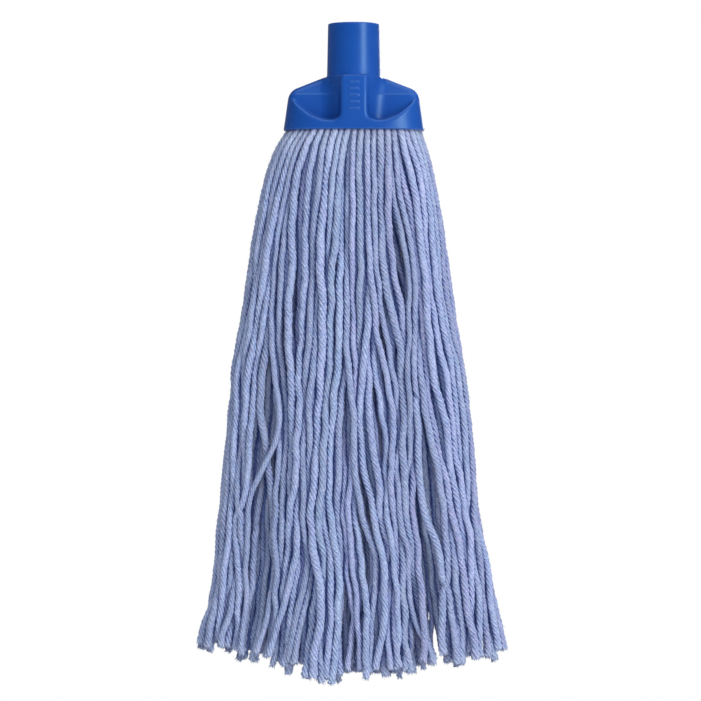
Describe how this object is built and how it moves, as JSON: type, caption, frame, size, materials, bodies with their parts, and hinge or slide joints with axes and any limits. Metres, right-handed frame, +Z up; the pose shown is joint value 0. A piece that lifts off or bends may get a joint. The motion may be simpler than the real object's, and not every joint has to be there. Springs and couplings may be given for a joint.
{
  "type": "string mop",
  "caption": "String mop head: a flared plastic handle socket with looped twisted yarn hung from a steel pin across its mouth, the yarn split into tufts that swing outward and curl.",
  "frame": {"origin": "centre of the stop floor at the bottom of the handle bore, where the handle's end rests", "axes": "+Z up along the handle bore towards the handle; X across the wide side of the socket; -Y is the front with the raised bars"},
  "size_m": [0.1772, 0.0478, 0.372],
  "materials": {
    "socket_plastic": "satin moulded polypropylene",
    "pin_steel": "drawn wire",
    "mop_yarn": "multi-ply twisted cotton blend, blue melange"
  },
  "bodies": {
    "socket": {"socket": "socket_plastic", "retaining_pin": "pin_steel", "yarn_fold_1": "mop_yarn", "yarn_fold_2": "mop_yarn", "yarn_fold_3": "mop_yarn", "yarn_fold_4": "mop_yarn", "yarn_fold_5": "mop_yarn", "yarn_fold_left": "mop_yarn", "yarn_fold_right": "mop_yarn"},
    "yarn_front_1_upper": {"yarn_front_1_upper": "mop_yarn"},
    "yarn_front_1_lower": {"yarn_front_1_lower": "mop_yarn"},
    "yarn_front_2_upper": {"yarn_front_2_upper": "mop_yarn"},
    "yarn_front_2_lower": {"yarn_front_2_lower": "mop_yarn"},
    "yarn_front_3_upper": {"yarn_front_3_upper": "mop_yarn"},
    "yarn_front_3_lower": {"yarn_front_3_lower": "mop_yarn"},
    "yarn_front_4_upper": {"yarn_front_4_upper": "mop_yarn"},
    "yarn_front_4_lower": {"yarn_front_4_lower": "mop_yarn"},
    "yarn_front_5_upper": {"yarn_front_5_upper": "mop_yarn"},
    "yarn_front_5_lower": {"yarn_front_5_lower": "mop_yarn"},
    "yarn_back_1_upper": {"yarn_back_1_upper": "mop_yarn"},
    "yarn_back_1_lower": {"yarn_back_1_lower": "mop_yarn"},
    "yarn_back_2_upper": {"yarn_back_2_upper": "mop_yarn"},
    "yarn_back_2_lower": {"yarn_back_2_lower": "mop_yarn"},
    "yarn_back_3_upper": {"yarn_back_3_upper": "mop_yarn"},
    "yarn_back_3_lower": {"yarn_back_3_lower": "mop_yarn"},
    "yarn_back_4_upper": {"yarn_back_4_upper": "mop_yarn"},
    "yarn_back_4_lower": {"yarn_back_4_lower": "mop_yarn"},
    "yarn_back_5_upper": {"yarn_back_5_upper": "mop_yarn"},
    "yarn_back_5_lower": {"yarn_back_5_lower": "mop_yarn"},
    "yarn_left_upper": {"yarn_left_upper": "mop_yarn"},
    "yarn_left_lower": {"yarn_left_lower": "mop_yarn"},
    "yarn_right_upper": {"yarn_right_upper": "mop_yarn"},
    "yarn_right_lower": {"yarn_right_lower": "mop_yarn"}
  },
  "joints": [
    {"name": "yarn_front_1_swing", "type": "hinge", "parent": "socket", "child": "yarn_front_1_upper", "pos_m": [0, -0.0127, -0.035], "axis": [-1, 0, 0], "range_deg": [0, 80]},
    {"name": "yarn_front_1_curl", "type": "hinge", "parent": "yarn_front_1_upper", "child": "yarn_front_1_lower", "pos_m": [0, -0.0127, -0.172], "axis": [-1, 0, 0], "range_deg": [0, 70]},
    {"name": "yarn_front_2_swing", "type": "hinge", "parent": "socket", "child": "yarn_front_2_upper", "pos_m": [0, -0.0127, -0.035], "axis": [-1, 0, 0], "range_deg": [0, 80]},
    {"name": "yarn_front_2_curl", "type": "hinge", "parent": "yarn_front_2_upper", "child": "yarn_front_2_lower", "pos_m": [0, -0.0127, -0.172], "axis": [-1, 0, 0], "range_deg": [0, 70]},
    {"name": "yarn_front_3_swing", "type": "hinge", "parent": "socket", "child": "yarn_front_3_upper", "pos_m": [0, -0.0127, -0.035], "axis": [-1, 0, 0], "range_deg": [0, 80]},
    {"name": "yarn_front_3_curl", "type": "hinge", "parent": "yarn_front_3_upper", "child": "yarn_front_3_lower", "pos_m": [0, -0.0127, -0.172], "axis": [-1, 0, 0], "range_deg": [0, 70]},
    {"name": "yarn_front_4_swing", "type": "hinge", "parent": "socket", "child": "yarn_front_4_upper", "pos_m": [0, -0.0127, -0.035], "axis": [-1, 0, 0], "range_deg": [0, 80]},
    {"name": "yarn_front_4_curl", "type": "hinge", "parent": "yarn_front_4_upper", "child": "yarn_front_4_lower", "pos_m": [0, -0.0127, -0.172], "axis": [-1, 0, 0], "range_deg": [0, 70]},
    {"name": "yarn_front_5_swing", "type": "hinge", "parent": "socket", "child": "yarn_front_5_upper", "pos_m": [0, -0.0127, -0.035], "axis": [-1, 0, 0], "range_deg": [0, 80]},
    {"name": "yarn_front_5_curl", "type": "hinge", "parent": "yarn_front_5_upper", "child": "yarn_front_5_lower", "pos_m": [0, -0.0127, -0.172], "axis": [-1, 0, 0], "range_deg": [0, 70]},
    {"name": "yarn_back_1_swing", "type": "hinge", "parent": "socket", "child": "yarn_back_1_upper", "pos_m": [0, 0.0127, -0.035], "axis": [1, 0, 0], "range_deg": [0, 80]},
    {"name": "yarn_back_1_curl", "type": "hinge", "parent": "yarn_back_1_upper", "child": "yarn_back_1_lower", "pos_m": [0, 0.0127, -0.172], "axis": [1, 0, 0], "range_deg": [0, 70]},
    {"name": "yarn_back_2_swing", "type": "hinge", "parent": "socket", "child": "yarn_back_2_upper", "pos_m": [0, 0.0127, -0.035], "axis": [1, 0, 0], "range_deg": [0, 80]},
    {"name": "yarn_back_2_curl", "type": "hinge", "parent": "yarn_back_2_upper", "child": "yarn_back_2_lower", "pos_m": [0, 0.0127, -0.172], "axis": [1, 0, 0], "range_deg": [0, 70]},
    {"name": "yarn_back_3_swing", "type": "hinge", "parent": "socket", "child": "yarn_back_3_upper", "pos_m": [0, 0.0127, -0.035], "axis": [1, 0, 0], "range_deg": [0, 80]},
    {"name": "yarn_back_3_curl", "type": "hinge", "parent": "yarn_back_3_upper", "child": "yarn_back_3_lower", "pos_m": [0, 0.0127, -0.172], "axis": [1, 0, 0], "range_deg": [0, 70]},
    {"name": "yarn_back_4_swing", "type": "hinge", "parent": "socket", "child": "yarn_back_4_upper", "pos_m": [0, 0.0127, -0.035], "axis": [1, 0, 0], "range_deg": [0, 80]},
    {"name": "yarn_back_4_curl", "type": "hinge", "parent": "yarn_back_4_upper", "child": "yarn_back_4_lower", "pos_m": [0, 0.0127, -0.172], "axis": [1, 0, 0], "range_deg": [0, 70]},
    {"name": "yarn_back_5_swing", "type": "hinge", "parent": "socket", "child": "yarn_back_5_upper", "pos_m": [0, 0.0127, -0.035], "axis": [1, 0, 0], "range_deg": [0, 80]},
    {"name": "yarn_back_5_curl", "type": "hinge", "parent": "yarn_back_5_upper", "child": "yarn_back_5_lower", "pos_m": [0, 0.0127, -0.172], "axis": [1, 0, 0], "range_deg": [0, 70]},
    {"name": "yarn_left_swing", "type": "hinge", "parent": "socket", "child": "yarn_left_upper", "pos_m": [-0.0384, 0, -0.035], "axis": [0, 1, 0], "range_deg": [0, 80]},
    {"name": "yarn_left_curl", "type": "hinge", "parent": "yarn_left_upper", "child": "yarn_left_lower", "pos_m": [-0.0575, 0, -0.172], "axis": [0, 1, 0], "range_deg": [0, 70]},
    {"name": "yarn_right_swing", "type": "hinge", "parent": "socket", "child": "yarn_right_upper", "pos_m": [0.0384, 0, -0.035], "axis": [0, -1, 0], "range_deg": [0, 80]},
    {"name": "yarn_right_curl", "type": "hinge", "parent": "yarn_right_upper", "child": "yarn_right_lower", "pos_m": [0.0575, 0, -0.172], "axis": [0, -1, 0], "range_deg": [0, 70]}
  ]
}
